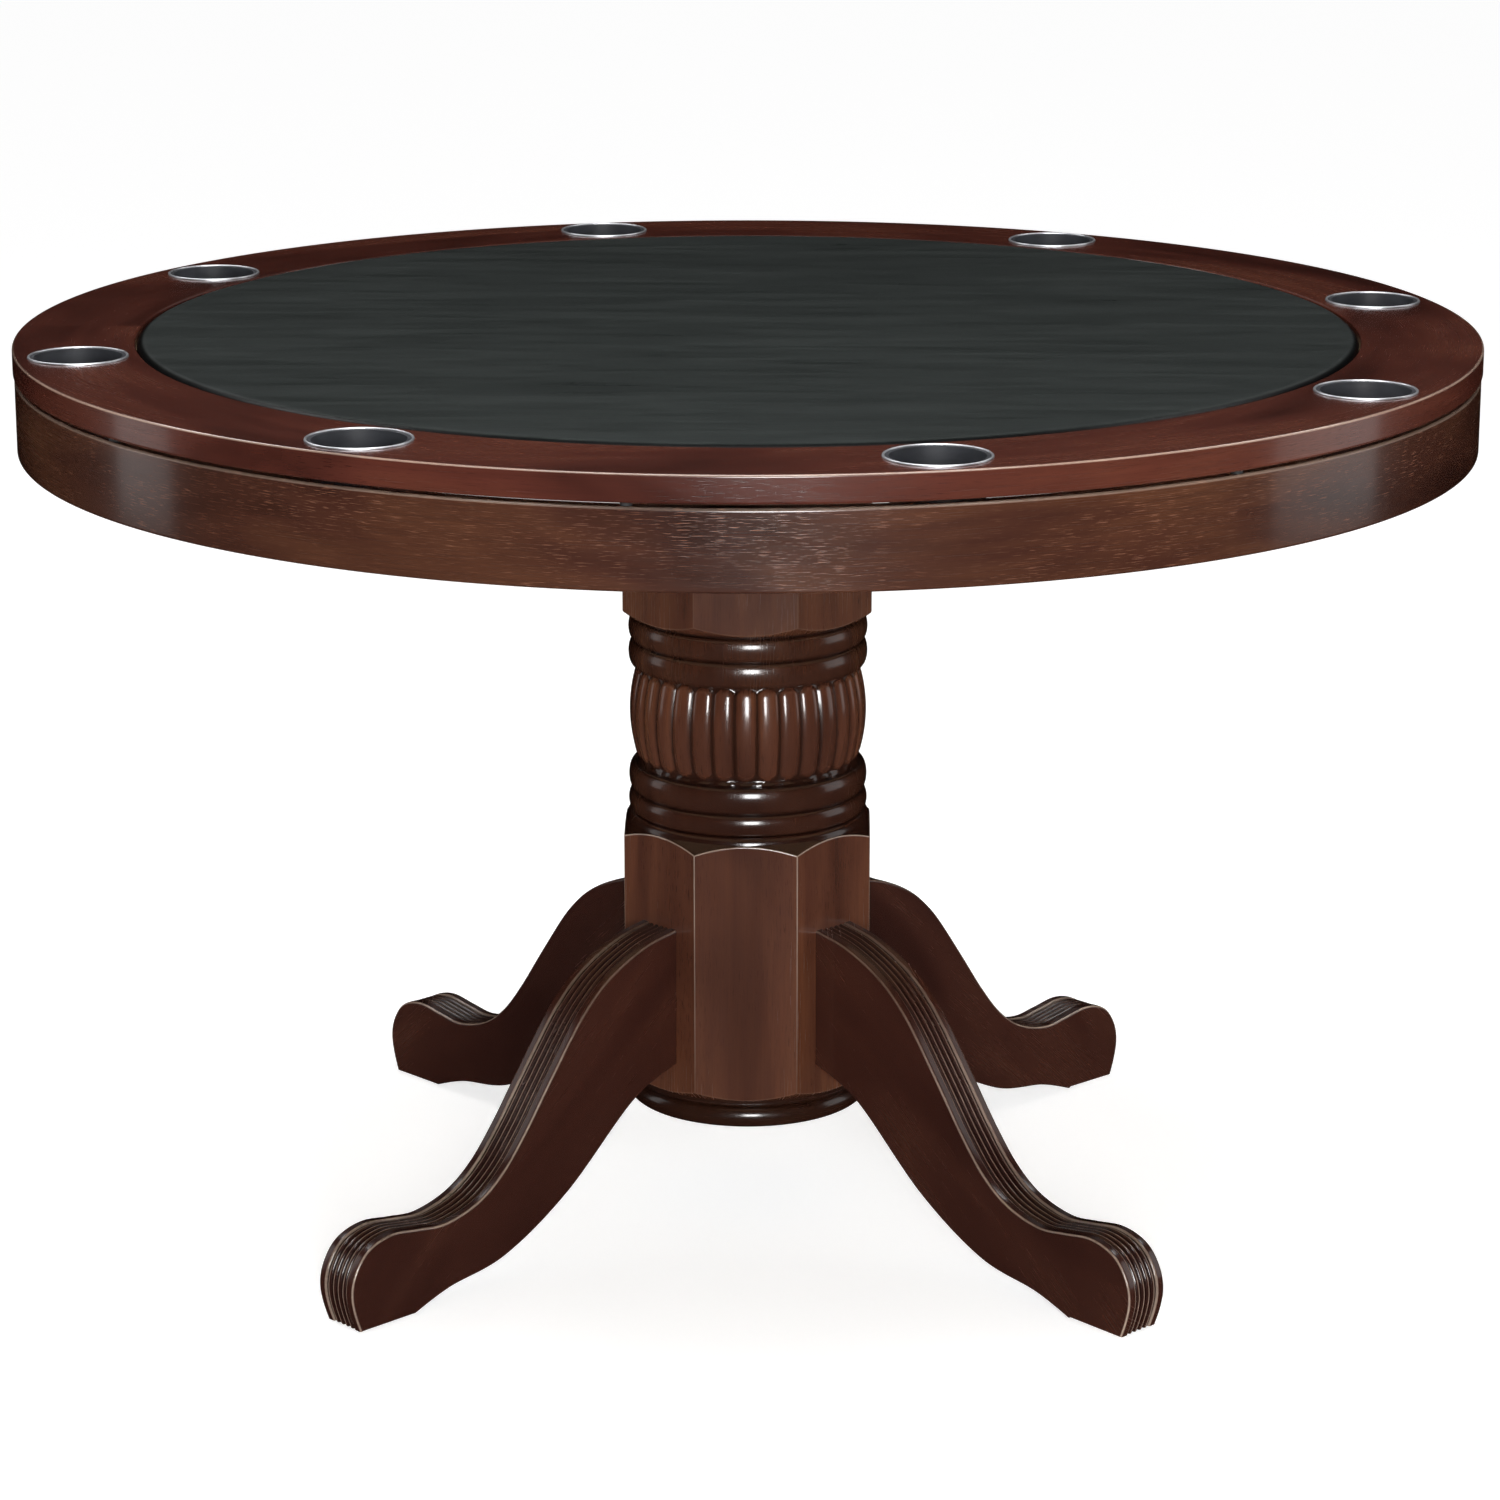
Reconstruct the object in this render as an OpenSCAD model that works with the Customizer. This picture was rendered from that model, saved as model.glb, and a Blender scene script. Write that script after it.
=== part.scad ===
// Round gaming table: a lift-off playing top with eight drop-in cup holders, resting on a
// drum-shaped apron and a turned octagonal pedestal with four sweeping legs. Millimetres,
// +Z up, origin on the floor under the centre, legs on the diagonals.

/* [Playing top] */
// Diameter of the playing top
top_d = 1219.2; // [1180:0.1:1260]
// Height of the top surface above the floor
table_h = 768; // [740:1:800]
// Thickness of the wooden rim
rim_t = 22; // [20:0.5:26]
// Diameter of the padded vinyl playing surface
pad_d = 1016; // [980:1:1030]
// Gap all round the pad
pad_gap = 1.2; // [0.8:0.1:3]
// Thickness of the panel under the pad
panel_t = 12; // [10:0.5:13]
// Radius of the rounded edges of the rim
rim_round = 2; // [1:0.5:3]

/* [Cup holders] */
// Number of cup holders round the rim
cup_count = 8; // [8:1:8]
// Angle of the first cup holder from the +X axis
cup_turn = 15.25; // [13:0.25:17]
// Diameter of the circle of cup centres
cup_circle_d = 1117.6; // [1114:0.1:1120]
// Outer diameter of the bright trim ring
ring_d = 81.6; // [80:0.1:84]
// Depth of a cup below the rim's surface
cup_depth = 60; // [50:1:66]
// Wall thickness of a cup
cup_wall = 1.5; // [1:0.1:2]

/* [Apron and drum] */
// Outer diameter of the apron hoop
apron_d = 1217; // [1214:0.5:1219]
// Thickness of the bent hoop
hoop_t = 11.5; // [10:0.1:11.5]
// Height of the hoop
hoop_h = 62.5; // [58:0.5:65]
// Thickness of the bumper pads that carry the top
bumper_t = 2.5; // [1.5:0.1:3]
// Width of a cross rail
rail_w = 45; // [40:1:50]
// Thickness of the mounting plate
plate_t = 18; // [15:1:20]
// Side of the square mounting plate
plate_w = 360; // [320:1:370]

/* [Pedestal] */
// Width of the octagonal post across its flats
post_w = 210; // [208:1:214]
// Height of the upper end of the lower block, at the middle of a face
block_top_z = 345.6; // [344:0.1:346]
// Height of the lower end of the lower block
block_low_z = 119; // [117:0.5:121]
// Width across flats of the hollow that gives access to the leg nuts
hollow_w = 110; // [100:1:118]
// Radius of the turned foot bead under the post
bead_r = 105.5; // [104:0.1:107]

/* [Legs] */
// Thickness of a leg
leg_t = 43; // [40:1:46]
// Radius at which the middle of a foot stands
foot_r = 429; // [426:1:432]
// Radius of a hanger bolt
bolt_r = 4; // [3.5:0.1:4.5]
// How far a glide stands below the wooden foot
glide_drop = 1.5; // [1:0.1:1.6]

/* [Hidden] */
$fn = 96;
eps = 0.01;
fit = 0.05;

// Colours
wood = [0.24, 0.11, 0.08];
wood_side = [0.20, 0.09, 0.07];
plain_wood = [0.72, 0.58, 0.42];
vinyl = [0.13, 0.15, 0.14];
foam = [0.85, 0.82, 0.70];
steel = [0.62, 0.62, 0.64];
bright = [0.85, 0.86, 0.88];
black = [0.06, 0.06, 0.07];

// Playing top
top_r = top_d / 2;
rim_z = table_h - rim_t;
pad_r = pad_d / 2;
pad_hole_r = pad_r + pad_gap;
rabbet = 8;
panel_r = pad_hole_r + rabbet - fit;
panel_z = rim_z + panel_t;
vinyl_t = 0.8;
tuck = 25;
foam_t = 3.9;
pad_board_z = panel_z + vinyl_t;
pad_board_t = table_h - vinyl_t - foam_t - pad_board_z;
roll_w = 11;
roll_h = 5;
pad_screw_count = 8;
pad_screw_r = 400;
screw_r = 2;
screw_head_r = 4;
screw_head_h = 3;

// Cup holders
cup_circle_r = cup_circle_d / 2;
cup_top_r = 37;
cup_low_r = 34;
cup_hole_r = 37.8;
cup_lip_r = 38.5;
cup_lip_t = 1.2;
ring_r = ring_d / 2;
ring_t = 1.8;
seat_gap = 0.15;
cup_floor_t = 2;
cup_heel = 4;

// Apron and drum
apron_r = apron_d / 2;
hoop_in_r = apron_r - hoop_t;
hoop_top_z = rim_z - bumper_t;
hoop_z = hoop_top_z - hoop_h;
hoop_round = 3;
plate_z = hoop_z + 1;
rail_z = plate_z + plate_t;
rail_h = hoop_top_z - rail_z;
rail_reach = hoop_in_r - 0.2;
block_w = 42;
block_h = 36;
bumper_on_hoop_r = 4.5;
bumper_on_rail_r = 12;
bumper_turn = 37.75;
rail_screw_places = [100, 150];
plate_bolt_r = 75;
plate_bolt_l = 90;
lag_head_r = 7;
lag_head_h = 5.5;
lag_washer_r = 11;
washer_t = 1.6;

// Pedestal
apothem = post_w / 2;
corner_r = apothem / cos(22.5);
envelope_r = corner_r + 4;
post_top_z = plate_z;
groove_r = 97.5;
hollow_top_z = 300;
base_cap_h = 25.5;
cap_screw_r = 72;

// Legs
leg_angles = [225, 315, 135, 45];
leg_bolt_z = [178, 234];
leg_dowel_z = [158, 254];
leg_bolt_reach = 45;
washer_r = 10;
nut_w = 13;
nut_t = 6.5;
dowel_r = 5;
dowel_half = 16;
glide_r = 11;
glide_t = 3;
nail_r = 1.2;
nail_l = 18;

// ---------------------------------------------------------------- curves

function arc(cx, cy, rx, ry, a0, a1, n) =
    [for (i = [0 : n]) let (a = a0 + (a1 - a0) * i / n) [cx + rx * cos(a), cy + ry * sin(a)]];

// A turned bead between two heights: half an ellipse that stands out of the groove radius
function bead(z0, z1, r_in, r_out, n = 10) =
    arc(r_in, (z0 + z1) / 2, r_out - r_in, (z1 - z0) / 2, -90, 90, n);

// One stretch of a smooth curve through four neighbouring points
function blend(p0, p1, p2, p3, t) =
    0.5 * (2 * p1 + (p2 - p0) * t + (2 * p0 - 5 * p1 + 4 * p2 - p3) * t * t
           + (3 * p1 - p0 - 3 * p2 + p3) * t * t * t);

// A smooth curve through all the points, with n steps between neighbours
function smooth(pts, n) =
    let (last = len(pts) - 1)
    concat([for (i = [0 : last - 1], k = [0 : n - 1])
                blend(pts[max(i - 1, 0)], pts[i], pts[i + 1], pts[min(i + 2, last)], k / n)],
           [pts[last]]);

// ---------------------------------------------------------------- placing

module at_angles(angles) {
    for (a = angles) rotate([0, 0, a]) children();
}

module round_the_circle(count, turn = 0) {
    at_angles([for (i = [0 : count - 1]) turn + i * 360 / count]) children();
}

module radial_rod(r_from, r_to, z, rod_r) {
    translate([r_from, 0, z]) rotate([0, 90, 0]) cylinder(r = rod_r, h = r_to - r_from);
}

module cup_place(i) {
    rotate([0, 0, cup_turn + (i - 1) * 360 / cup_count]) translate([cup_circle_r, 0, 0]) children();
}

// Screw with a flat head, its head's top at the origin and its shank pointing down
module screw_down(length, shank_r = screw_r, head_r = screw_head_r, head_h = screw_head_h) {
    translate([0, 0, -head_h]) cylinder(r1 = shank_r, r2 = head_r, h = head_h);
    translate([0, 0, -length]) cylinder(r = shank_r, h = length - head_h + eps);
}

// ---------------------------------------------------------------- drum

module apron_hoop() {
    color(wood)
    rotate_extrude($fn = 180)
    polygon(concat([[hoop_in_r, hoop_z]],
                   arc(apron_r - rim_round, hoop_z + rim_round, rim_round, rim_round, -90, 0, 4),
                   arc(apron_r - hoop_round, hoop_top_z - hoop_round, hoop_round, hoop_round, 0, 90, 5),
                   [[hoop_in_r, hoop_top_z]]));
}

module rail_bar() {
    intersection() {
        translate([-apron_r, -rail_w / 2, rail_z]) cube([2 * apron_r, rail_w, rail_h]);
        cylinder(r = rail_reach, h = table_h);
    }
}

module rail_screw_holes() {
    round_the_circle(4)
    for (x = rail_screw_places) translate([x, 0, plate_z - eps])
        cylinder(r = screw_r + fit, h = plate_t + 22 + 2 * eps);
}

// Half of the depth is cut away where the rails cross
module cross_rail_x() {
    color(plain_wood)
    difference() {
        rail_bar();
        translate([-rail_w / 2, -rail_w, rail_z + rail_h / 2]) cube([rail_w, 2 * rail_w, rail_h]);
        rail_screw_holes();
    }
}

module cross_rail_y() {
    color(plain_wood)
    difference() {
        rotate([0, 0, 90]) rail_bar();
        translate([-rail_w, -rail_w / 2, rail_z - rail_h / 2]) cube([2 * rail_w, rail_w, rail_h]);
        rail_screw_holes();
    }
}

module corner_blocks() {
    color(plain_wood)
    difference() {
        intersection() {
            round_the_circle(4)
            for (side = [0, 1]) mirror([0, side, 0])
                translate([hoop_in_r - block_w - 2, rail_w / 2 + fit, hoop_top_z - block_h - 5])
                cube([block_w + 10, block_w, block_h]);
            cylinder(r = rail_reach, h = table_h, $fn = 180);
        }
        block_screw_set(fit);
    }
}

module block_screw_set(extra = 0) {
    round_the_circle(4)
    for (side = [-1, 1]) translate([0, side * (rail_w / 2 + block_w / 2), 0])
        radial_rod(hoop_in_r - block_w + 14, hoop_in_r - 4, hoop_top_z - block_h / 2 - 5, screw_r + extra);
}

module block_screws() {
    color(steel) block_screw_set();
}

module mounting_plate() {
    color(plain_wood)
    difference() {
        translate([-plate_w / 2, -plate_w / 2, plate_z]) cube([plate_w, plate_w, plate_t]);
        round_the_circle(4, 45) translate([plate_bolt_r, 0, plate_z - eps])
            cylinder(r = bolt_r + 0.5, h = plate_t + 2 * eps);
        rail_screw_holes();
        round_the_circle(4) for (x = rail_screw_places) translate([x, 0, plate_z - eps])
            cylinder(r1 = screw_head_r + fit, r2 = screw_r + fit, h = screw_head_h + eps);
    }
}

module rail_screws() {
    color(steel)
    round_the_circle(4) for (x = rail_screw_places)
        translate([x, 0, plate_z]) mirror([0, 0, 1]) screw_down(plate_t + 20);
}

module plate_bolts() {
    color(steel)
    round_the_circle(4, 45) translate([plate_bolt_r, 0, rail_z + washer_t]) {
        cylinder(r = lag_head_r, h = lag_head_h, $fn = 6);
        translate([0, 0, -plate_bolt_l]) cylinder(r = bolt_r, h = plate_bolt_l + eps);
    }
}

module plate_washers() {
    color(steel)
    round_the_circle(4, 45) translate([plate_bolt_r, 0, rail_z])
    difference() {
        cylinder(r = lag_washer_r, h = washer_t);
        translate([0, 0, -eps]) cylinder(r = bolt_r + 0.3, h = washer_t + 2 * eps);
    }
}

module bumper_pads() {
    color(black) {
        round_the_circle(8, bumper_turn) translate([apron_r - hoop_t / 2 - 0.5, 0, hoop_top_z])
            cylinder(r = bumper_on_hoop_r, h = bumper_t, $fn = 48);
        round_the_circle(4) for (x = [250, 480]) translate([x, 0, hoop_top_z])
            cylinder(r = bumper_on_rail_r, h = bumper_t, $fn = 48);
    }
}

// ---------------------------------------------------------------- pedestal

// The turned outline: blocks run out past the octagon's corners, beads and bulb stay inside it
function post_outline() = concat(
    [[0, block_low_z], [apothem - 1, block_low_z], [envelope_r, block_low_z + 10],
     [envelope_r, block_top_z - 11.5], [apothem, block_top_z]],
    arc(groove_r, block_top_z, apothem - groove_r, 6.5, 20, 90, 5),
    bead(352, 370.5, groove_r, 102.3),
    bead(371, 394, groove_r, 102),
    arc(95, 436, 5.8, 40, -88, 88, 12),
    [[95, 479]],
    bead(480, 502, groove_r, 102),
    bead(502.5, 523, groove_r, 102),
    [[groove_r, 524], [apothem - 1, 526.5], [envelope_r, 536.5], [envelope_r, post_top_z],
     [0, post_top_z]]);

module leg_bolt_holes(r_hole) {
    at_angles(leg_angles) for (z = leg_bolt_z)
        radial_rod(hollow_w / 2 - 5, apothem + 5, z, r_hole);
}

module pedestal_post() {
    color(wood)
    difference() {
        intersection() {
            rotate_extrude($fn = 120) polygon(post_outline());
            rotate([0, 0, 22.5]) cylinder(r = corner_r, h = table_h, $fn = 8);
        }
        rotate([0, 0, 22.5]) translate([0, 0, block_low_z - eps])
            cylinder(r = hollow_w / 2 / cos(22.5), h = hollow_top_z - block_low_z, $fn = 8);
        leg_bolt_holes(bolt_r + 0.5);
        at_angles(leg_angles) for (z = leg_dowel_z)
            radial_rod(apothem - dowel_half - 1, apothem + 5, z, dowel_r + fit);
        round_the_circle(4, 45) translate([plate_bolt_r, 0, post_top_z - plate_bolt_l + plate_t])
            cylinder(r = bolt_r + fit, h = plate_bolt_l);
        cap_screw_set(fit);
    }
}

module base_cap() {
    low = block_low_z - base_cap_h;
    crease_z = block_low_z - 5.5;
    color(wood)
    difference() {
        rotate_extrude($fn = 120)
        polygon(concat([[0, low]],
                       arc(groove_r - 2, (low + crease_z) / 2, bead_r - groove_r + 2,
                           (crease_z - low) / 2, -90, 75, 12),
                       [[groove_r + 3.5, crease_z], [groove_r + 5.5, crease_z + 1.5],
                        [groove_r + 5.5, block_low_z], [0, block_low_z]]));
        cap_screw_set(fit);
        round_the_circle(4) translate([cap_screw_r, 0, low - eps])
            cylinder(r1 = screw_head_r + 1 + fit, r2 = screw_r + fit, h = screw_head_h + eps);
    }
}

module cap_screw_set(extra = 0) {
    round_the_circle(4) translate([cap_screw_r, 0, block_low_z - base_cap_h - eps])
        cylinder(r = screw_r + extra, h = 50);
}

module cap_screws() {
    color(steel)
    round_the_circle(4) translate([cap_screw_r, 0, block_low_z - base_cap_h])
        mirror([0, 0, 1]) screw_down(49, head_r = screw_head_r + 1);
}

// ---------------------------------------------------------------- legs

// Side view of a leg: distance from the axis, height. The upper edge sweeps down from the post
// to an upturned foot, and the underside arches from the heel back to the post.
function leg_outline() = concat(
    smooth([[apothem, 267], [135, 261.5], [163, 251], [186, 238], [205, 222], [222, 203],
            [252, 163], [278, 127.5], [303, 99], [330, 80.5], [364, 71.5], [392, 74],
            [418, 77.5], [438, 74], [452, 65.5], [462, 50], [465, 34], [462, 17], [456, 0]], 4),
    smooth([[403, 0], [362, 14], [300, 26], [230, 64], [155, 126], [apothem, 147]], 6));

module leg(angle) {
    rotate([0, 0, angle])
    difference() {
        rotate([90, 0, 0]) translate([0, 0, -leg_t / 2]) linear_extrude(leg_t) polygon(leg_outline());
        translate([apothem, -leg_t, -glide_drop]) cube([500, 2 * leg_t, 2 * glide_drop]);
        translate([foot_r, 0, 0]) cylinder(r = glide_r + 0.2, h = glide_t);
        translate([foot_r, 0, 0]) cylinder(r = nail_r + fit, h = glide_t + nail_l);
        for (z = leg_bolt_z) radial_rod(apothem - 5, apothem + leg_bolt_reach, z, bolt_r + fit);
        for (z = leg_dowel_z) radial_rod(apothem - 5, apothem + dowel_half + 1, z, dowel_r + fit);
    }
}

module leg_front_left() { color(wood_side) leg(leg_angles[0]); }
module leg_front_right() { color(wood_side) leg(leg_angles[1]); }
module leg_rear_left() { color(wood_side) leg(leg_angles[2]); }
module leg_rear_right() { color(wood_side) leg(leg_angles[3]); }

module leg_hanger_bolts() {
    color(steel)
    at_angles(leg_angles) for (z = leg_bolt_z)
        radial_rod(hollow_w / 2 - 12, apothem + leg_bolt_reach - 1, z, bolt_r);
}

module leg_washers() {
    color(steel)
    at_angles(leg_angles) for (z = leg_bolt_z)
    difference() {
        radial_rod(hollow_w / 2 - washer_t, hollow_w / 2, z, washer_r);
        radial_rod(hollow_w / 2 - washer_t - 1, hollow_w / 2 + 1, z, bolt_r + 0.3);
    }
}

module leg_nuts() {
    color(steel)
    at_angles(leg_angles) for (z = leg_bolt_z)
    difference() {
        translate([hollow_w / 2 - washer_t - nut_t, 0, z]) rotate([0, 90, 0])
            cylinder(r = nut_w / 2 / cos(30), h = nut_t, $fn = 6);
        radial_rod(hollow_w / 2 - washer_t - nut_t - 1, hollow_w / 2, z, bolt_r + fit);
    }
}

module leg_dowels() {
    color(plain_wood)
    at_angles(leg_angles) for (z = leg_dowel_z)
        radial_rod(apothem - dowel_half, apothem + dowel_half, z, dowel_r);
}

module foot_glides() {
    color(black)
    at_angles(leg_angles) translate([foot_r, 0, 0]) {
        cylinder(r = glide_r, h = glide_t);
        translate([0, 0, glide_t - eps]) cylinder(r = nail_r, h = nail_l);
    }
}

// ---------------------------------------------------------------- playing top

module top_rim() {
    color(wood)
    difference() {
        rotate_extrude($fn = 180)
        polygon(concat([[pad_hole_r + rabbet, rim_z]],
                       arc(top_r - rim_round, rim_z + rim_round, rim_round, rim_round, -90, 0, 4),
                       arc(top_r - rim_round, table_h - rim_round, rim_round, rim_round, 0, 90, 4),
                       arc(pad_hole_r + rim_round, table_h - rim_round, rim_round, rim_round, 90, 180, 4),
                       [[pad_hole_r, panel_z], [pad_hole_r + rabbet, panel_z]]));
        for (i = [1 : cup_count]) cup_place(i)
            translate([0, 0, rim_z - 1]) cylinder(r = cup_hole_r, h = rim_t + 2);
    }
}

module pad_screw_set(extra) {
    round_the_circle(pad_screw_count) translate([pad_screw_r, 0, rim_z])
        mirror([0, 0, 1]) screw_down(panel_t + 3, screw_r + extra, screw_head_r + extra);
}

module centre_panel() {
    color(plain_wood)
    difference() {
        translate([0, 0, rim_z]) cylinder(r = panel_r, h = panel_t, $fn = 180);
        pad_screw_set(fit);
    }
}

module pad_screws() {
    color(steel) pad_screw_set(0);
}

module pad_board() {
    color(plain_wood)
    difference() {
        translate([0, 0, pad_board_z]) cylinder(r = pad_r - vinyl_t - fit, h = pad_board_t, $fn = 180);
        pad_screw_set(fit);
    }
}

// Height of the rolled edge's outline, inset by the vinyl's thickness for the foam
function pad_edge(inset) =
    arc(pad_r - roll_w, table_h - roll_h, roll_w - inset, roll_h - inset, 0, 90, 8);

module foam_pad() {
    low = pad_board_z + pad_board_t;
    color(foam)
    rotate_extrude($fn = 180)
    intersection() {
        polygon(concat([[0, low], [pad_r - vinyl_t - fit, low]], pad_edge(vinyl_t + fit),
                       [[0, table_h - vinyl_t - fit]]));
        translate([0, low]) square([pad_r, table_h]);
    }
}

// Drawn tight over the foam, down the board's edge and tucked under it
module vinyl_cover() {
    color(vinyl)
    rotate_extrude($fn = 180)
    difference() {
        polygon(concat([[0, panel_z], [pad_r, panel_z]], pad_edge(0), [[0, table_h]]));
        polygon(concat([[0, panel_z + vinyl_t], [pad_r - vinyl_t, panel_z + vinyl_t]],
                       pad_edge(vinyl_t), [[0, table_h - vinyl_t]]));
        translate([0, panel_z - 1]) square([pad_r - tuck, vinyl_t + 2]);
    }
}

// ---------------------------------------------------------------- cup holders

module cup_insert(i) {
    low = table_h - cup_depth;
    color(black)
    cup_place(i)
    rotate_extrude($fn = 96)
    polygon([[0, low], [cup_low_r - cup_heel, low], [cup_low_r, low + cup_heel],
             [cup_top_r, table_h + seat_gap], [cup_lip_r, table_h + seat_gap],
             [cup_lip_r, table_h + cup_lip_t - 0.4],
             [cup_lip_r - 0.5, table_h + cup_lip_t], [cup_top_r - cup_wall + 0.8, table_h + cup_lip_t],
             [cup_top_r - cup_wall, table_h + cup_lip_t - 0.8],
             [cup_low_r - cup_wall, low + cup_heel + 1],
             [cup_low_r - cup_heel - cup_wall, low + cup_floor_t], [0, low + cup_floor_t]]);
}

module cup_trim_ring(i) {
    mid_r = (ring_r + cup_lip_r + fit) / 2;
    half_w = (ring_r - cup_lip_r - fit) / 2;
    color(bright)
    cup_place(i)
    rotate_extrude($fn = 96)
    polygon(concat([[mid_r - half_w, table_h + seat_gap], [mid_r + half_w, table_h + seat_gap]],
                   arc(mid_r, table_h + ring_t - half_w, half_w, half_w, 0, 180, 8)));
}

module cup_insert_1() { cup_insert(1); }
module cup_insert_2() { cup_insert(2); }
module cup_insert_3() { cup_insert(3); }
module cup_insert_4() { cup_insert(4); }
module cup_insert_5() { cup_insert(5); }
module cup_insert_6() { cup_insert(6); }
module cup_insert_7() { cup_insert(7); }
module cup_insert_8() { cup_insert(8); }
module cup_trim_ring_1() { cup_trim_ring(1); }
module cup_trim_ring_2() { cup_trim_ring(2); }
module cup_trim_ring_3() { cup_trim_ring(3); }
module cup_trim_ring_4() { cup_trim_ring(4); }
module cup_trim_ring_5() { cup_trim_ring(5); }
module cup_trim_ring_6() { cup_trim_ring(6); }
module cup_trim_ring_7() { cup_trim_ring(7); }
module cup_trim_ring_8() { cup_trim_ring(8); }

apron_hoop();
cross_rail_x();
cross_rail_y();
corner_blocks();
block_screws();
mounting_plate();
plate_bolts();
plate_washers();
rail_screws();
bumper_pads();
pedestal_post();
base_cap();
cap_screws();
leg_front_left();
leg_front_right();
leg_rear_left();
leg_rear_right();
leg_hanger_bolts();
leg_washers();
leg_nuts();
leg_dowels();
foot_glides();
top_rim();
centre_panel();
pad_board();
foam_pad();
vinyl_cover();
pad_screws();
cup_insert_1();
cup_insert_2();
cup_insert_3();
cup_insert_4();
cup_insert_5();
cup_insert_6();
cup_insert_7();
cup_insert_8();
cup_trim_ring_1();
cup_trim_ring_2();
cup_trim_ring_3();
cup_trim_ring_4();
cup_trim_ring_5();
cup_trim_ring_6();
cup_trim_ring_7();
cup_trim_ring_8();
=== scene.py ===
import math

import bmesh
import bpy
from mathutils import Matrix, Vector, noise


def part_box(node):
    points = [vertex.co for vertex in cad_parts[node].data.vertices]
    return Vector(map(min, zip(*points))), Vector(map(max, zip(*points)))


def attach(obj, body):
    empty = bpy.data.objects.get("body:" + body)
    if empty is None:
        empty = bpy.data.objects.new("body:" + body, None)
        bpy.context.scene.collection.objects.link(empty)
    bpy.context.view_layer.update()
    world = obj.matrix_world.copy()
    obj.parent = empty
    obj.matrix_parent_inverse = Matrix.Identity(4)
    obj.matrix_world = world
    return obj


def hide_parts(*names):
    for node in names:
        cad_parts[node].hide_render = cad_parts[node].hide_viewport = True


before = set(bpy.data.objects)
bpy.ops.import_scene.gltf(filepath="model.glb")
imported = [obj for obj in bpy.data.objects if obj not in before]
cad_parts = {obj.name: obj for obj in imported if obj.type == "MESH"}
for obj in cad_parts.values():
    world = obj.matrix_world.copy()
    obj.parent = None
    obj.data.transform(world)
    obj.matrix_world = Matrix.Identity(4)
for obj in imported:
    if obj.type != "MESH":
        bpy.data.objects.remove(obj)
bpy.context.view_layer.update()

MM = 0.001
TURN = 2 * math.pi

# ------------------------------------------------------------------ sizes, from the frame

RIM_LOW, RIM_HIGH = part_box("top_rim")
TOP_R = RIM_HIGH[0]
TOP_Z = RIM_HIGH[2]
RIM_Z = RIM_LOW[2]
PAD_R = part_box("vinyl_cover")[1][0]
PAD_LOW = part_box("vinyl_cover")[0][2]
HOOP_LOW, HOOP_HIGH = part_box("apron_hoop")
HOOP_R = HOOP_HIGH[0]
HOOP_WALL = 11.5 * MM
POST_LOW, POST_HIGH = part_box("pedestal_post")
APOTHEM = POST_HIGH[0]
BLOCK_LOW_Z = POST_LOW[2]
CAP_LOW_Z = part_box("base_cap")[0][2]
CAP_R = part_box("base_cap")[1][0]
LEG_THICK = 43 * MM
LEG_ANGLES = {"front_left": 225, "front_right": 315, "rear_left": 135, "rear_right": 45}
GLIDE_DROP = 1.5 * MM
CUPS = range(1, 9)
RING_R = (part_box("cup_trim_ring_1")[1][0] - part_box("cup_trim_ring_1")[0][0]) / 2
CUP_LOW_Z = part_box("cup_insert_1")[0][2]
CUP_HOLE_R = 37.8 * MM
REEDS = 32
BULB_FOOT = 394 * MM
BULB_TOP = 480 * MM


def middle(node):
    """The middle of a node's box in plan."""
    low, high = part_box(node)
    return Vector(((low[0] + high[0]) / 2, (low[1] + high[1]) / 2, 0))


# ------------------------------------------------------------------ outlines

def arc(cx, cz, rx, rz, start, end, steps):
    """Points on a stretch of an ellipse, angles in degrees."""
    angles = [math.radians(start + (end - start) * i / steps) for i in range(steps + 1)]
    return [(cx + rx * math.cos(a), cz + rz * math.sin(a)) for a in angles]


def bead(z0, z1, r_in, r_out, steps=14):
    """A turned bead: half an ellipse that stands out of the groove radius."""
    return arc(r_in, (z0 + z1) / 2, r_out - r_in, (z1 - z0) / 2, -90, 90, steps)


def smooth_curve(points, steps):
    """A smooth curve through all the points, with that many steps between neighbours."""
    points = [Vector(p) for p in points]
    last = len(points) - 1
    curve = []
    for i in range(last):
        a, b = points[max(i - 1, 0)], points[i]
        c, d = points[i + 1], points[min(i + 2, last)]
        for k in range(steps):
            t = k / steps
            curve.append(0.5 * (2 * b + (c - a) * t + (2 * a - 5 * b + 4 * c - d) * t * t
                                + (3 * b - a - 3 * c + d) * t ** 3))
    return curve + [points[last]]


def even_steps(curve, count):
    """The curve again, as count + 1 points at even distances along it."""
    lengths = [0.0]
    for a, b in zip(curve, curve[1:]):
        lengths.append(lengths[-1] + (b - a).length)
    points, i = [], 0
    for k in range(count + 1):
        want = lengths[-1] * k / count
        while i < len(curve) - 2 and lengths[i + 1] < want:
            i += 1
        span = max(lengths[i + 1] - lengths[i], 1e-9)
        points.append(curve[i].lerp(curve[i + 1], min(max((want - lengths[i]) / span, 0), 1)))
    return points


# ------------------------------------------------------------------ mesh helpers

def finish_piece(bm, name, mat, sharp=35, weighted=True):
    """Turns a bmesh into an object at the origin, smooth except across its sharp edges."""
    mesh = bpy.data.meshes.new(name)
    bm.to_mesh(mesh)
    bm.free()
    piece = bpy.data.objects.new(name, mesh)
    bpy.context.scene.collection.objects.link(piece)
    mesh.shade_smooth()
    mesh.set_sharp_from_angle(angle=math.radians(sharp))
    mesh.materials.append(mat)
    if weighted:
        normals = piece.modifiers.new("even_normals", "WEIGHTED_NORMAL")
        normals.keep_sharp = True
    return piece


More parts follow.
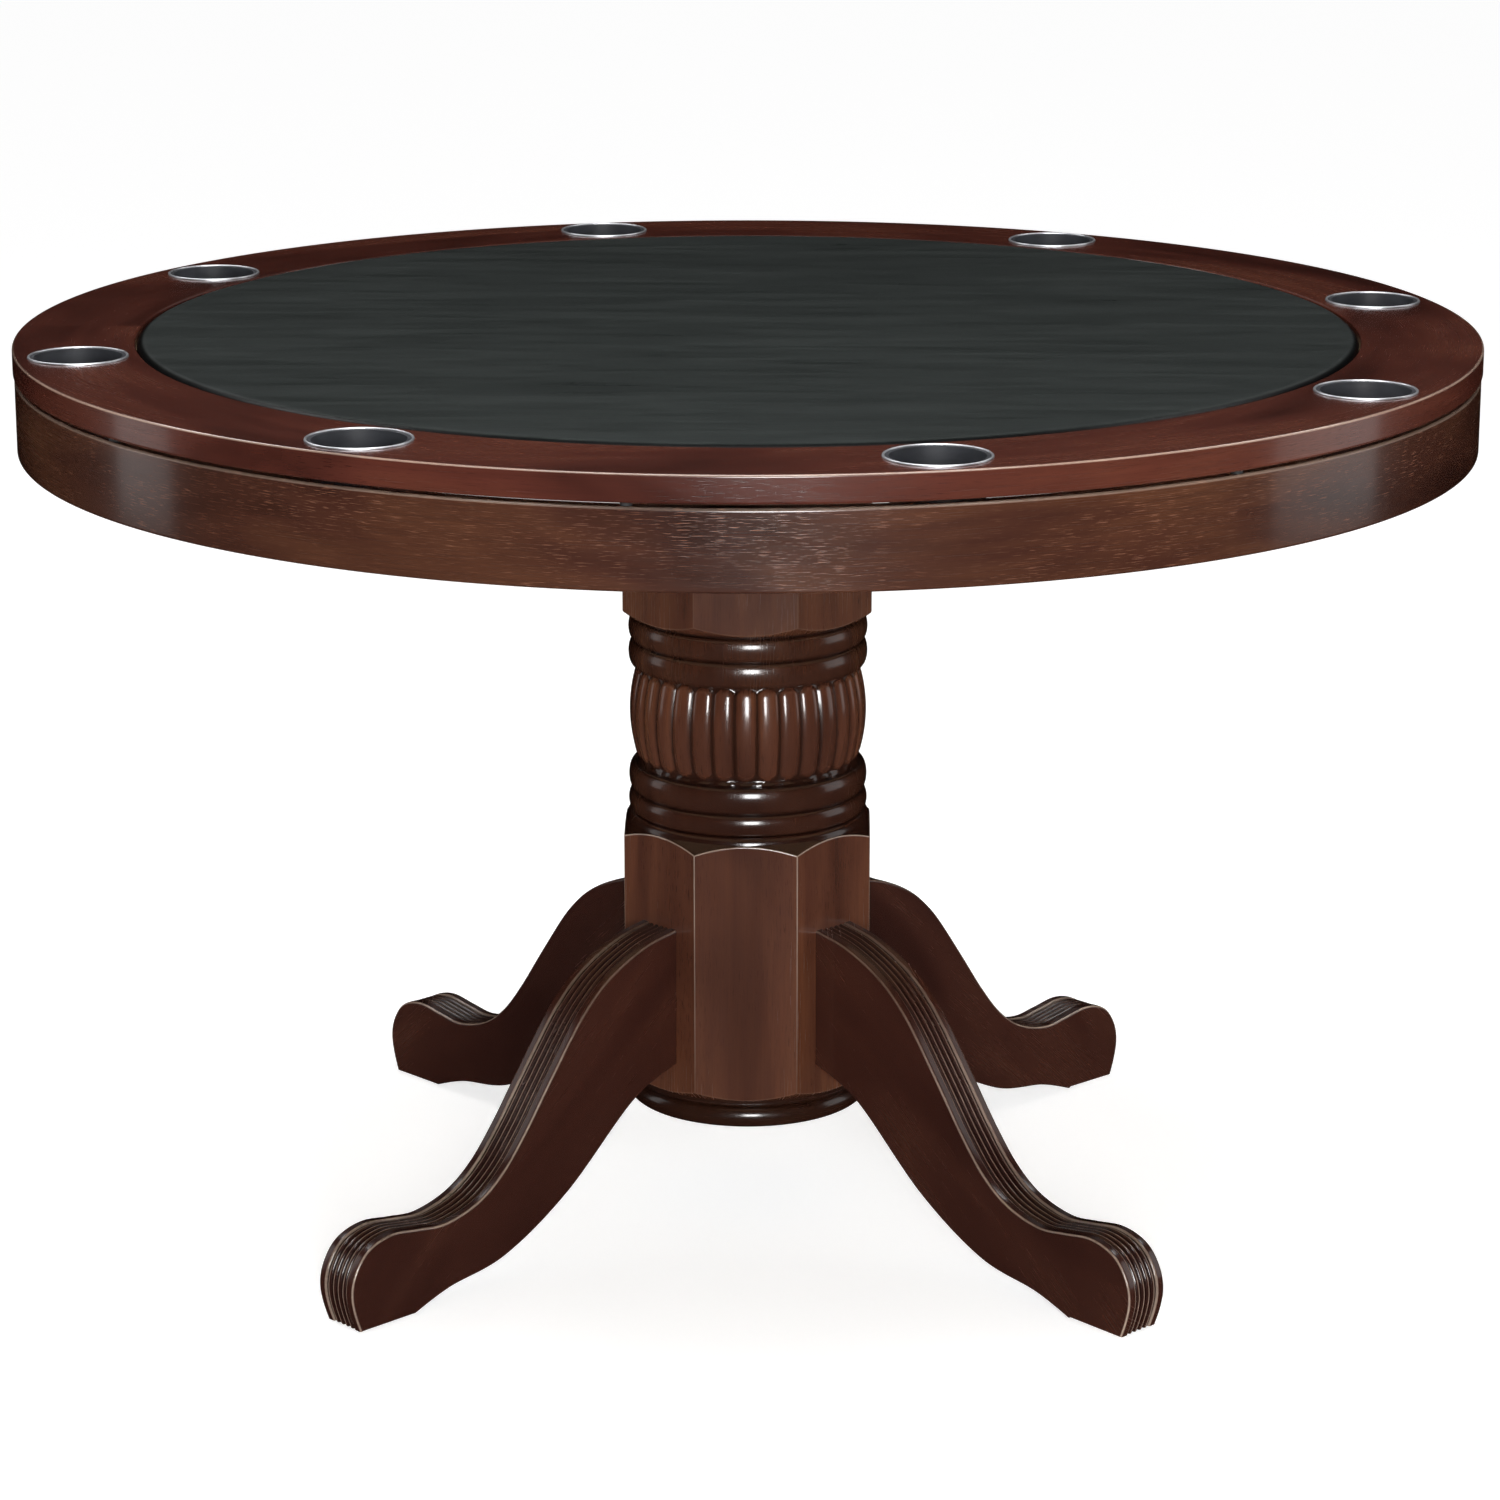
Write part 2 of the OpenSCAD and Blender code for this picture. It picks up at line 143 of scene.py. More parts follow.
def turned(outline, steps, centre=(0, 0, 0)):
    """A bmesh spun about a vertical axis from its closed outline of (radius, height) points."""
    bm = bmesh.new()
    corners = [bm.verts.new((r, 0, z)) for r, z in outline]
    edges = [bm.edges.new(pair) for pair in zip(corners, corners[1:])]
    edges.append(bm.edges.new((corners[-1], corners[0])))
    bmesh.ops.spin(bm, geom=corners + edges, cent=(0, 0, 0), axis=(0, 0, 1), angle=TURN,
                   steps=steps, use_merge=True)
    bmesh.ops.remove_doubles(bm, verts=bm.verts, dist=1e-6)
    bmesh.ops.recalc_face_normals(bm, faces=bm.faces)
    bmesh.ops.translate(bm, vec=Vector(centre), verts=bm.verts)
    return bm


def laid_grid(columns, rows, place):
    """A grid whose corners are laid at place(u, v), both running from 0 to 1."""
    bm = bmesh.new()
    bmesh.ops.create_grid(bm, x_segments=columns, y_segments=rows, size=1)
    for corner in bm.verts:
        corner.co = place((corner.co.x + 1) / 2, (corner.co.y + 1) / 2)
    return bm


def cut_away(piece, cutter_bm):
    """Cuts the cutter's shape out of the piece."""
    mesh = bpy.data.meshes.new("cutter")
    cutter_bm.to_mesh(mesh)
    cutter_bm.free()
    cutter = bpy.data.objects.new("cutter", mesh)
    bpy.context.scene.collection.objects.link(cutter)
    cut = piece.modifiers.new("cut", "BOOLEAN")
    cut.operation = "DIFFERENCE"
    cut.solver = "EXACT"
    cut.object = cutter
    bpy.context.view_layer.objects.active = piece
    bpy.ops.object.modifier_move_to_index(modifier=cut.name, index=0)
    bpy.ops.object.modifier_apply(modifier=cut.name)
    bpy.data.objects.remove(cutter)
    bpy.data.meshes.remove(mesh)


def lay_grain(piece, grain_at):
    """Gives the piece a map in metres: along the grain, then across it.

    grain_at(point, middle of its face, normal of its face) gives the two.
    """
    layer = piece.data.uv_layers.new(name="grain")
    mesh = piece.data
    for face in mesh.polygons:
        for loop in face.loop_indices:
            point = mesh.vertices[mesh.loops[loop].vertex_index].co
            layer.data[loop].uv = grain_at(point, face.center, face.normal)


def mark(piece, name, amount_at):
    """Marks every corner of a piece with an amount from 0 to 1. amount_at(radius, corner)."""
    marks = piece.data.attributes.new(name, "FLOAT", "POINT")
    for corner in piece.data.vertices:
        marks.data[corner.index].value = amount_at(math.hypot(corner.co.x, corner.co.y), corner)


def painted_edge_highlight(radius, height, reach=2.5 * MM, amount=0.6):
    """A painted highlight: a pale line along a round edge, on its slope and not on its flats."""
    wall_like, top_like = 0.3, 0.95

    def at(out, corner):
        near = math.hypot(out - radius, corner.co.z - height) < reach
        return amount if near and wall_like < abs(corner.normal.z) < top_like else 0.0
    return at


def grain_round(radius):
    """Grain that runs round the axis, as on a bent hoop or a ring of veneer."""
    def at(point, centre, _normal):
        turn = math.atan2(centre.y, centre.x)
        bearing = math.atan2(point.y, point.x)
        bearing += TURN * round((turn - bearing) / TURN)
        out = math.hypot(point.x, point.y)
        return (bearing * radius, point.z + out)
    return at


def grain_upright(radius):
    """Grain that runs up the axis, as on a post glued up from staves."""
    end_share = 0.3

    def at(point, centre, _normal):
        turn = math.atan2(centre.y, centre.x)
        bearing = math.atan2(point.y, point.x)
        bearing += TURN * round((turn - bearing) / TURN)
        return (point.z + end_share * math.hypot(point.x, point.y), bearing * radius)
    return at


# ------------------------------------------------------------------ materials

class Finish:
    """A node material with short ways to add its nodes."""

    def __init__(self, name):
        self.mat = bpy.data.materials.new(name)
        self.mat.use_nodes = True
        self.tree = self.mat.node_tree
        self.shader = self.tree.nodes["Principled BSDF"]

    def node(self, kind, **settings):
        made = self.tree.nodes.new(kind)
        for key, value in settings.items():
            if key in made.inputs:
                made.inputs[key].default_value = value
            else:
                setattr(made, key, value)
        return made

    def join(self, source, target):
        self.tree.links.new(source, target)

    def coords(self, scale, layer=None, offset=(0, 0, 0)):
        """Coordinates from the grain map, or from the object where there is none, times a scale."""
        if layer:
            source = self.node("ShaderNodeUVMap", uv_map=layer).outputs["UV"]
        else:
            source = self.node("ShaderNodeTexCoord").outputs["Object"]
        place = self.node("ShaderNodeMapping")
        place.inputs["Scale"].default_value = scale
        place.inputs["Location"].default_value = offset
        self.join(source, place.inputs["Vector"])
        return place.outputs["Vector"]

    def noise(self, where, detail=4.0, rough=0.55, warp=0.0):
        made = self.node("ShaderNodeTexNoise")
        made.inputs["Scale"].default_value = 1.0
        made.inputs["Detail"].default_value = detail
        made.inputs["Roughness"].default_value = rough
        made.inputs["Distortion"].default_value = warp
        self.join(where, made.inputs["Vector"])
        return made.outputs["Fac"]

    def marked(self, name):
        """How strongly the piece's own marks say so, from 0 to 1."""
        return self.node("ShaderNodeAttribute", attribute_name=name).outputs["Fac"]

    def ramp(self, value, *stops):
        made = self.node("ShaderNodeValToRGB")
        band = made.color_ramp
        while len(band.elements) < len(stops):
            band.elements.new(0.5)
        for element, (place, colour) in zip(band.elements, stops):
            element.position = place
            element.color = (*colour, 1) if len(colour) == 3 else colour
        self.join(value, made.inputs["Fac"])
        return made.outputs["Color"]

    def level(self, value, low, high, out_low=0.0, out_high=1.0):
        made = self.node("ShaderNodeMapRange")
        for key, number in (("From Min", low), ("From Max", high),
                            ("To Min", out_low), ("To Max", out_high)):
            made.inputs[key].default_value = number
        self.join(value, made.inputs["Value"])
        return made.outputs["Result"]

    def mix(self, share, first, second, blend="MIX"):
        made = self.node("ShaderNodeMix", data_type="RGBA", blend_type=blend)
        for socket, value in ((made.inputs[0], share), (made.inputs[6], first), (made.inputs[7], second)):
            if isinstance(value, bpy.types.NodeSocket):
                self.join(value, socket)
            elif isinstance(value, tuple):
                socket.default_value = (*value, 1)
            else:
                socket.default_value = value
        return made.outputs[2]

    def sums(self, operation, first, second):
        made = self.node("ShaderNodeMath", operation=operation)
        for socket, value in zip(made.inputs, (first, second)):
            if isinstance(value, bpy.types.NodeSocket):
                self.join(value, socket)
            else:
                socket.default_value = value
        return made.outputs["Value"]

    def bump(self, height, strength, distance, under=None):
        made = self.node("ShaderNodeBump")
        made.inputs["Strength"].default_value = strength
        made.inputs["Distance"].default_value = distance
        self.join(height, made.inputs["Height"])
        if under:
            self.join(under, made.inputs["Normal"])
        return made.outputs["Normal"]

    def set(self, **sockets):
        """Sets or joins the shader's own sockets, underscores for spaces."""
        for key, value in sockets.items():
            socket = self.shader.inputs[key.replace("_", " ")]
            if isinstance(value, bpy.types.NodeSocket):
                self.join(value, socket)
            else:
                socket.default_value = value
        return self.mat


def darker(colour, share):
    """A colour with only that share of its light left."""
    return tuple(channel * share for channel in colour)


# The pale colour of the painted highlight laid along edges.
HIGHLIGHT_TONE = (0.48, 0.37, 0.29)
# How far marks darken the wood, as a darker tone and as painted shade.
DARKENING_SHARE = 0.85


def stained_wood(name, dark, mid, light, streak, pore_pale=0.0, sink=0.55):
    """Dark stained, lacquered hardwood. The grain map runs along the grain first.

    streak is how dark the figure is, sink how dark the pores are and pore_pale how pale.
    Marks darken the colour, for a darker tone and for painted shade, and lay a pale painted highlight
    along edges.
    """
    f = Finish(name)
    gloss = 0.22
    tone = f.noise(f.coords((2.6, 9, 1), "grain"), 3, 0.6, 0.6)
    figure = f.noise(f.coords((4, 70, 1), "grain"), 5, 0.6, 0.8)
    fine = f.noise(f.coords((16, 620, 1), "grain"), 4, 0.65)
    pores = f.noise(f.coords((70, 1400, 1), "grain", (3, 7, 0)), 2, 0.5)
    patch = f.noise(f.coords((7, 16, 1), "grain", (11, 5, 0)), 2, 0.5)
    base = f.ramp(tone, (0.32, dark), (0.50, mid), (0.70, light))
    figured = f.mix(f.level(figure, 0.35, 0.70, 0, streak), base, dark)
    lined = f.mix(f.level(fine, 0.35, 0.75, 0, 0.35), figured, dark)
    pore = f.level(pores, 0.60, 0.67)
    shown = f.sums("MULTIPLY", pore, f.level(patch, 0.40, 0.62, 0.25, 1.0))
    sunk = f.mix(f.sums("MULTIPLY", shown, sink), lined, darker(dark, 0.35))
    pale = tuple(min(1, channel * 3.0 + 0.03) for channel in light)
    coloured = f.mix(f.sums("MULTIPLY", shown, pore_pale), sunk, pale)
    # Darker tone and painted shade, where the marks say so.
    cover = f.sums("MULTIPLY", f.marked("dark_tone_and_shade"), DARKENING_SHARE)
    darkened = f.mix(cover, coloured, darker(dark, 0.22))
    # Painted highlight: a pale line, broken up by the grain, where the marks lie along edges.
    highlight_colour = f.mix(f.level(fine, 0.3, 0.7, 0, 0.35), HIGHLIGHT_TONE, light)
    highlight_share = f.sums("MULTIPLY", f.marked("edge_highlight"), f.level(tone, 0.38, 0.62, 0.55, 1.0))
    marked_colour = f.mix(highlight_share, darkened, highlight_colour)
    rough = f.level(f.sums("ADD", fine, tone), 0.7, 1.3, gloss - 0.04, gloss + 0.08)
    height = f.sums("SUBTRACT", f.sums("MULTIPLY", fine, 0.4), shown)
    normal = f.bump(height, 0.16, 0.0002)
    return f.set(Base_Color=marked_colour, Roughness=rough, Normal=normal, Coat_Weight=0.5,
                 Coat_Roughness=0.12, Coat_IOR=1.5, IOR=1.45, Specular_IOR_Level=0.4)


def bare_wood(name, dark, light, along):
    """Unfinished timber or board: pale, matt, with grain along one axis of the object."""
    f = Finish(name)
    slow, quick, fibres = 2.0, 46.0, 14
    scale = tuple(slow if axis else quick for axis in along)
    figure = f.noise(f.coords(scale), 5, 0.6, 1.2)
    fibre = f.noise(f.coords(tuple(s * fibres for s in scale)), 3, 0.6)
    plain = f.ramp(figure, (0.3, dark), (0.7, light))
    colour = f.mix(f.level(fibre, 0.3, 0.7, 0, 0.35), plain, dark)
    return f.set(Base_Color=colour, Roughness=f.level(fibre, 0.3, 0.7, 0.62, 0.8),
                 Normal=f.bump(fibre, 0.3, 0.0004))


def playing_vinyl(name):
    """Grained black vinyl with long soft streaks and scuffs, and painted shade on its rolled edge where
    it turns down into the gap: near black and dull there.
    """
    pebbles = 620
    f = Finish(name)
    streaks = f.noise(f.coords((5, 42, 1)), 6, 0.62, 0.5)
    scuffs = f.noise(f.coords((20, 330, 1), offset=(4, 2, 0)), 5, 0.7, 0.6)
    clouds = f.noise(f.coords((2.2, 3.4, 1)), 3, 0.5, 0.5)
    grain = f.node("ShaderNodeTexVoronoi", feature="SMOOTH_F1")
    grain.inputs["Scale"].default_value = pebbles
    f.join(f.coords((1, 1, 1)), grain.inputs["Vector"])
    base = f.ramp(streaks, (0.30, (0.0100, 0.0124, 0.0118)), (0.70, (0.0205, 0.0248, 0.0236)))
    cloudy = f.mix(f.level(clouds, 0.3, 0.7, 0, 0.5), base, (0.0125, 0.0153, 0.0146))
    marked_colour = f.mix(f.level(scuffs, 0.56, 0.74, 0, 0.6), cloudy, (0.0370, 0.0430, 0.0410))
    # Painted shade: the lower part of the rolled edge, down in the gap's shadow, goes near black and
    # loses its shine.
    tucked = f.marked("tuck")
    shaded = f.mix(tucked, marked_colour, (0.0015, 0.0017, 0.0017))
    rough = f.level(f.sums("ADD", streaks, scuffs), 0.7, 1.3, 0.27, 0.40)
    hide = f.bump(grain.outputs["Distance"], 0.25, 0.0003)
    normal = f.bump(f.sums("ADD", streaks, scuffs), 0.10, 0.0006, hide)
    return f.set(Base_Color=shaded, Roughness=rough, Normal=normal,
                 Specular_IOR_Level=f.level(tucked, 0, 1, 0.5, 0.05))


def cup_black(name):
    """Black satin enamel inside the cups, with faint speckle and handling marks."""
    f = Finish(name)
    speckle = f.noise(f.coords((900, 900, 900)), 2)
    marks = f.noise(f.coords((30, 30, 90)), 4, 0.6)
    colour = f.ramp(marks, (0.3, (0.020, 0.021, 0.024)), (0.7, (0.034, 0.036, 0.042)))
    return f.set(Base_Color=colour, Roughness=f.level(marks, 0.3, 0.7, 0.45, 0.6),
                 Normal=f.bump(speckle, 0.15, 0.0001), Specular_IOR_Level=0.3)


def bright_metal(name, colour, rough_low, rough_high):
    """Plated or polished metal with fine marks."""
    f = Finish(name)
    marks = f.noise(f.coords((260, 260, 260)), 4, 0.6)
    tone = f.mix(f.level(marks, 0.3, 0.7, 0, 0.3), colour, darker(colour, 0.78))
    rough = f.level(marks, 0.3, 0.7, rough_low, rough_high)
    return f.set(Base_Color=tone, Metallic=1.0, Roughness=rough,
                 Normal=f.bump(marks, 0.06, 0.0001))


def dull_polymer(name, colour, rough):
    """Rubber, nylon or foam: one colour broken up by pores and a fine skin."""
    f = Finish(name)
    pores = f.noise(f.coords((700, 700, 700)), 3, 0.6)
    tone = f.mix(f.level(pores, 0.35, 0.7, 0, 0.5), colour, darker(colour, 0.55))
    return f.set(Base_Color=tone, Roughness=f.level(pores, 0.3, 0.7, rough - 0.05, rough + 0.05),
                 Normal=f.bump(pores, 0.2, 0.0002))


RIM_WOOD = stained_wood("rim_stained_wood", (0.033, 0.0084, 0.0056), (0.075, 0.0185, 0.0115),
                        (0.118, 0.0335, 0.0180), streak=0.35)
APRON_WOOD = stained_wood("apron_stained_wood", (0.020, 0.0066, 0.0042), (0.048, 0.0160, 0.0092),
                          (0.090, 0.0330, 0.0150), pore_pale=0.40, streak=0.30, sink=0.30)
POST_WOOD = stained_wood("post_stained_wood", (0.038, 0.0128, 0.0076), (0.090, 0.0305, 0.0155),
                         (0.142, 0.0520, 0.0225), streak=0.55)
LEG_WOOD = stained_wood("leg_stained_wood", (0.024, 0.0070, 0.0048), (0.037, 0.0112, 0.0070),
                        (0.054, 0.0175, 0.0100), streak=0.14)
VINYL = playing_vinyl("black_vinyl")
CUP_BLACK = cup_black("cup_black_enamel")
RING_METAL = bright_metal("polished_ring", (0.66, 0.67, 0.70), 0.34, 0.46)
ZINC = bright_metal("zinc_plate", (0.60, 0.60, 0.62), 0.30, 0.45)
RUBBER = dull_polymer("black_rubber", (0.020, 0.020, 0.020), 0.75)
NYLON = dull_polymer("black_nylon", (0.030, 0.030, 0.032), 0.40)
FOAM = dull_polymer("foam", (0.55, 0.50, 0.36), 0.9)
RAIL_X_TIMBER = bare_wood("timber_along_x", (0.20, 0.12, 0.060), (0.40, 0.26, 0.15), (1, 0, 0))
RAIL_Y_TIMBER = bare_wood("timber_along_y", (0.20, 0.12, 0.060), (0.40, 0.26, 0.15), (0, 1, 0))
BLOCK_TIMBER = bare_wood("timber_upright", (0.19, 0.11, 0.055), (0.36, 0.23, 0.13), (0, 0, 1))
PLYWOOD = bare_wood("plywood_face", (0.26, 0.17, 0.090), (0.44, 0.31, 0.19), (1, 0, 0))

CAD_FINISHES = {
    "cross_rail_x": RAIL_X_TIMBER, "cross_rail_y": RAIL_Y_TIMBER, "corner_blocks": BLOCK_TIMBER,
    "mounting_plate": PLYWOOD, "centre_panel": PLYWOOD, "pad_board": PLYWOOD, "foam_pad": FOAM,
    "leg_dowels": BLOCK_TIMBER, "bumper_pads": RUBBER, "foot_glides": NYLON,
    "block_screws": ZINC, "plate_bolts": ZINC, "plate_washers": ZINC, "rail_screws": ZINC,
    "cap_screws": ZINC, "leg_hanger_bolts": ZINC, "leg_washers": ZINC, "leg_nuts": ZINC,
    "pad_screws": ZINC,
}


def finish_cad_nodes():
    """Gives the plain inner pieces and the fasteners their timber, metal, rubber and foam."""
    for name, mat in CAD_FINISHES.items():
        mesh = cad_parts[name].data
        mesh.materials.clear()
        mesh.materials.append(mat)


# ------------------------------------------------------------------ camera and light

def set_camera():
    """Seen from a little above the top, almost square on to a flat of the post."""
    distance, height = 3.7491, 1.4161
    turn, dip = math.radians(1.025), math.radians(15.145)
    data = bpy.data.cameras.new("camera")
    data.lens = 108.5
    data.sensor_width = 36
    data.shift_x = 0.0014
    data.clip_end = 50
    camera = bpy.data.objects.new("camera", data)
    camera.location = (distance * math.sin(turn), -distance * math.cos(turn), height)
    camera.rotation_euler = (math.pi / 2 - dip, 0, turn)
    bpy.context.scene.collection.objects.link(camera)
    bpy.context.scene.camera = camera


def softbox(name, place, aim, width, height, power, spread=180, mirrored=True):
    """A soft lamp aimed at a point. One that isn't mirrored only fills the shadows."""
    data = bpy.data.lights.new(name, "AREA")
    data.shape = "RECTANGLE"
    data.size, data.size_y = width, height
    data.energy = power
    data.spread = math.radians(spread)
    lamp = bpy.data.objects.new(name, data)
    lamp.location = place
    lamp.rotation_euler = (Vector(aim) - Vector(place)).to_track_quat("-Z", "Y").to_euler()
    lamp.visible_camera = False
    lamp.visible_glossy = mirrored
    bpy.context.scene.collection.objects.link(lamp)


def light_studio():
    """An even ceiling light, and softboxes in front, above, behind and at either side.

    The white world lights nothing: it is only the backdrop.
    """
    scene = bpy.context.scene
    scene.view_settings.view_transform = "Standard"
    world = bpy.data.worlds.new("studio")
    scene.world = world
    world.use_nodes = True
    backdrop = world.node_tree.nodes["Background"]
    backdrop.inputs["Color"].default_value = (1, 1, 1, 1)
    backdrop.inputs["Strength"].default_value = 1.0
    world.cycles_visibility.diffuse = False
    world.cycles_visibility.glossy = False
    ceiling = bpy.data.lights.new("ceiling", "SUN")
    ceiling.energy = 1.25
    ceiling.angle = math.radians(34)
    scene.collection.objects.link(bpy.data.objects.new("ceiling", ceiling))
    softbox("key", (0.35, -4.4, 1.30), (0, 0, 0.5), 1.1, 1.5, 20, spread=60)
    softbox("front_top", (0, -0.85, 1.95), (0, -0.50, 0.77), 1.7, 0.35, 20)
    softbox("left", (-3.3, 0.34, 1.1), (0, 0.34, 0.55), 0.83, 2.2, 6)
    softbox("right", (3.3, 0.12, 1.1), (0, 0.12, 0.55), 1.45, 2.2, 11)
    softbox("left_fill", (-3.3, 0, 1.1), (0, 0, 0.55), 1.7, 2.2, 11, mirrored=False)
    softbox("right_fill", (3.3, 0, 1.1), (0, 0, 0.55), 1.7, 2.2, 20, mirrored=False)
    middle_of_top = (0, 0, 0.77)
    softbox("left_high", (-1.6, 0.9, 2.6), middle_of_top, 0.8, 0.8, 18)
    softbox("right_high", (1.6, 0.9, 2.6), middle_of_top, 0.8, 0.8, 12)
    softbox("back_glow", (0, 4.0, 2.8), middle_of_top, 5.0, 1.2, 3)


def lay_floor():
    """A plain pale floor that glows a little, so that it fades into the backdrop."""
    floor_r = 14
    bm = bmesh.new()
    bmesh.ops.create_circle(bm, cap_ends=True, segments=96, radius=floor_r)
    f = Finish("floor")
    f.set(Base_Color=(0.60, 0.60, 0.60, 1), Roughness=0.9, Emission_Color=(1, 1, 1, 1),
          Emission_Strength=0.74)
    floor = finish_piece(bm, "floor", f.mat, weighted=False)
    floor.visible_glossy = False


# ------------------------------------------------------------------ playing top

def make_top_rim():
    """The wooden ring: rounded edges, a rabbet underneath and a hole for each cup."""
    pad_gap, rabbet_wide, rabbet_deep = 1.2 * MM, 8 * MM, 12 * MM
    edge, inner_edge = 2.2 * MM, 2.0 * MM
    inner = PAD_R + pad_gap
    rabbet_r = inner + rabbet_wide
    rabbet_z = RIM_Z + rabbet_deep
    outline = ([(rabbet_r, RIM_Z)]
               + arc(TOP_R - edge, RIM_Z + edge, edge, edge, -90, 0, 6)
               + arc(TOP_R - edge, TOP_Z - edge, edge, edge, 0, 90, 6)
               + arc(inner + inner_edge, TOP_Z - inner_edge, inner_edge, inner_edge, 90, 180, 4)
               + [(inner, rabbet_z), (rabbet_r, rabbet_z)])
    rim = finish_piece(turned(outline, 384), "top_rim_wood", RIM_WOOD)
    chamfer, easing, flare, beyond = 0.6 * MM, 0.2 * MM, 6 * MM, 5 * MM
    low, high = RIM_Z - beyond, TOP_Z + beyond
    hole = [(0, low), (CUP_HOLE_R + flare, low), (CUP_HOLE_R, RIM_Z + chamfer),
            (CUP_HOLE_R, TOP_Z - easing), (CUP_HOLE_R + easing, high), (0, high)]
    for i in CUPS:
        cut_away(rim, turned(hole, 64, centre=middle(f"cup_insert_{i}")))
    lay_grain(rim, grain_round(TOP_R))
    # Painted highlight along the rim's rounded outer top edge.
    mark(rim, "edge_highlight", painted_edge_highlight(TOP_R, TOP_Z))
    return ride(rim, "game_top", "rim_wood", "top_rim")


def make_vinyl_pad():
    """The playing pad: crowned a little, with a soft rolled edge drawn down all round."""
    roll_w, roll_h, crown, rings = 9 * MM, 6.5 * MM, 0.3 * MM, 40
    swell_high, pucker_high, pucker_reach = 0.12 * MM, 0.15 * MM, 18 * MM
    flat_r, flat_z = PAD_R - roll_w, TOP_Z + 1.25 * MM
    tuck_r, tuck_w = PAD_R - 6 * MM, 2 * MM
    field = [(flat_r * i / rings, flat_z + crown * (1 - (i / rings) ** 2)) for i in range(rings)]
    rolled = arc(flat_r, flat_z - roll_h, roll_w, roll_h, 90, 0, 14)
    outline = field + rolled + [(PAD_R, PAD_LOW + 1 * MM), (PAD_R - 1 * MM, PAD_LOW), (0, PAD_LOW)]
    bm = turned(outline, 288)
    for corner in bm.verts:
        if corner.co.z > PAD_LOW + 2 * MM:
            out = math.hypot(corner.co.x, corner.co.y)
            swell = noise.noise(Vector((corner.co.x * 5, corner.co.y * 9, 0.3)))
            pucker = noise.noise(Vector((corner.co.x * 40, corner.co.y * 40, 4.0)))
            near_edge = max(0.0, 1 - abs(out - flat_r) / pucker_reach)
            corner.co.z += swell_high * swell + pucker_high * pucker * near_edge
    pad = finish_piece(bm, "vinyl_pad", VINYL, sharp=60, weighted=False)
    # Painted shade on the lower part of the rolled edge, where the gap's shadow falls.
    mark(pad, "tuck", lambda out, _corner: min(1.0, max(0.0, (out - tuck_r) / tuck_w)))
    return ride(pad, "game_top", "vinyl", "vinyl_cover")


def make_cup(i):
    """A black well with a rolled lip, and the bright ring beaded round it."""
    wall, bottom, heel, seat, lip = 1.5 * MM, 2 * MM, 4 * MM, 0.15 * MM, 0.3 * MM
    ring_wide, ring_tall = 2.1 * MM, 1.35 * MM
    top_r, low_r, flange_r = 37 * MM, 34 * MM, RING_R - ring_wide
    lip_z = TOP_Z + seat
    centre = middle(f"cup_insert_{i}")
    outline = ([(0, CUP_LOW_Z), (low_r - heel, CUP_LOW_Z)]
               + arc(low_r - heel, CUP_LOW_Z + heel, heel, heel, -75, 0, 5)
               + [(top_r, lip_z), (flange_r, lip_z), (flange_r, lip_z + lip)]
               + arc(top_r - wall + lip, lip_z, lip, lip, 90, 180, 5)
               + [(low_r - wall, CUP_LOW_Z + heel + wall)]
               + arc(low_r - wall - heel, CUP_LOW_Z + wall + heel, heel, heel, -15, -90, 5)
               + [(0, CUP_LOW_Z + bottom)])
    cup = finish_piece(turned(outline, 96, centre=centre), f"cup_well_{i}", CUP_BLACK)
    ride(cup, f"cup_{i}", "cup_black", f"cup_insert_{i}")
    half = (RING_R - flange_r) / 2
    mid = RING_R - half
    ring_line = [(mid - half, lip_z)] + arc(mid, lip_z, half, ring_tall, 0, 180, 14)[:-1]
    ring = finish_piece(turned(ring_line, 128, centre=centre), f"cup_ring_{i}", RING_METAL, sharp=60)
    ride(ring, f"cup_{i}", "ring_metal", f"cup_trim_ring_{i}")


# ------------------------------------------------------------------ drum

def make_apron():
    """The bent hoop, its upper edge rounded under the shadow gap."""
    low, high = HOOP_LOW[2], HOOP_HIGH[2]
    edge, top_edge = 2 * MM, 3 * MM
    highlight_reach, highlight_amount = 3.3 * MM, 0.35
    inner = HOOP_R - HOOP_WALL
    outline = ([(inner, low)] + arc(HOOP_R - edge, low + edge, edge, edge, -90, 0, 6)
               + arc(HOOP_R - top_edge, high - top_edge, top_edge, top_edge, 0, 90, 8)
               + [(inner, high)])
    apron = finish_piece(turned(outline, 384), "apron_wood", APRON_WOOD)
    lay_grain(apron, grain_round(HOOP_R))
    # Painted highlight along the hoop's rounded upper edge.
    mark(apron, "edge_highlight", painted_edge_highlight(HOOP_R, high, highlight_reach, highlight_amount))
    return ride(apron, "base", "apron_wood", "apron_hoop")


# ------------------------------------------------------------------ pedestal

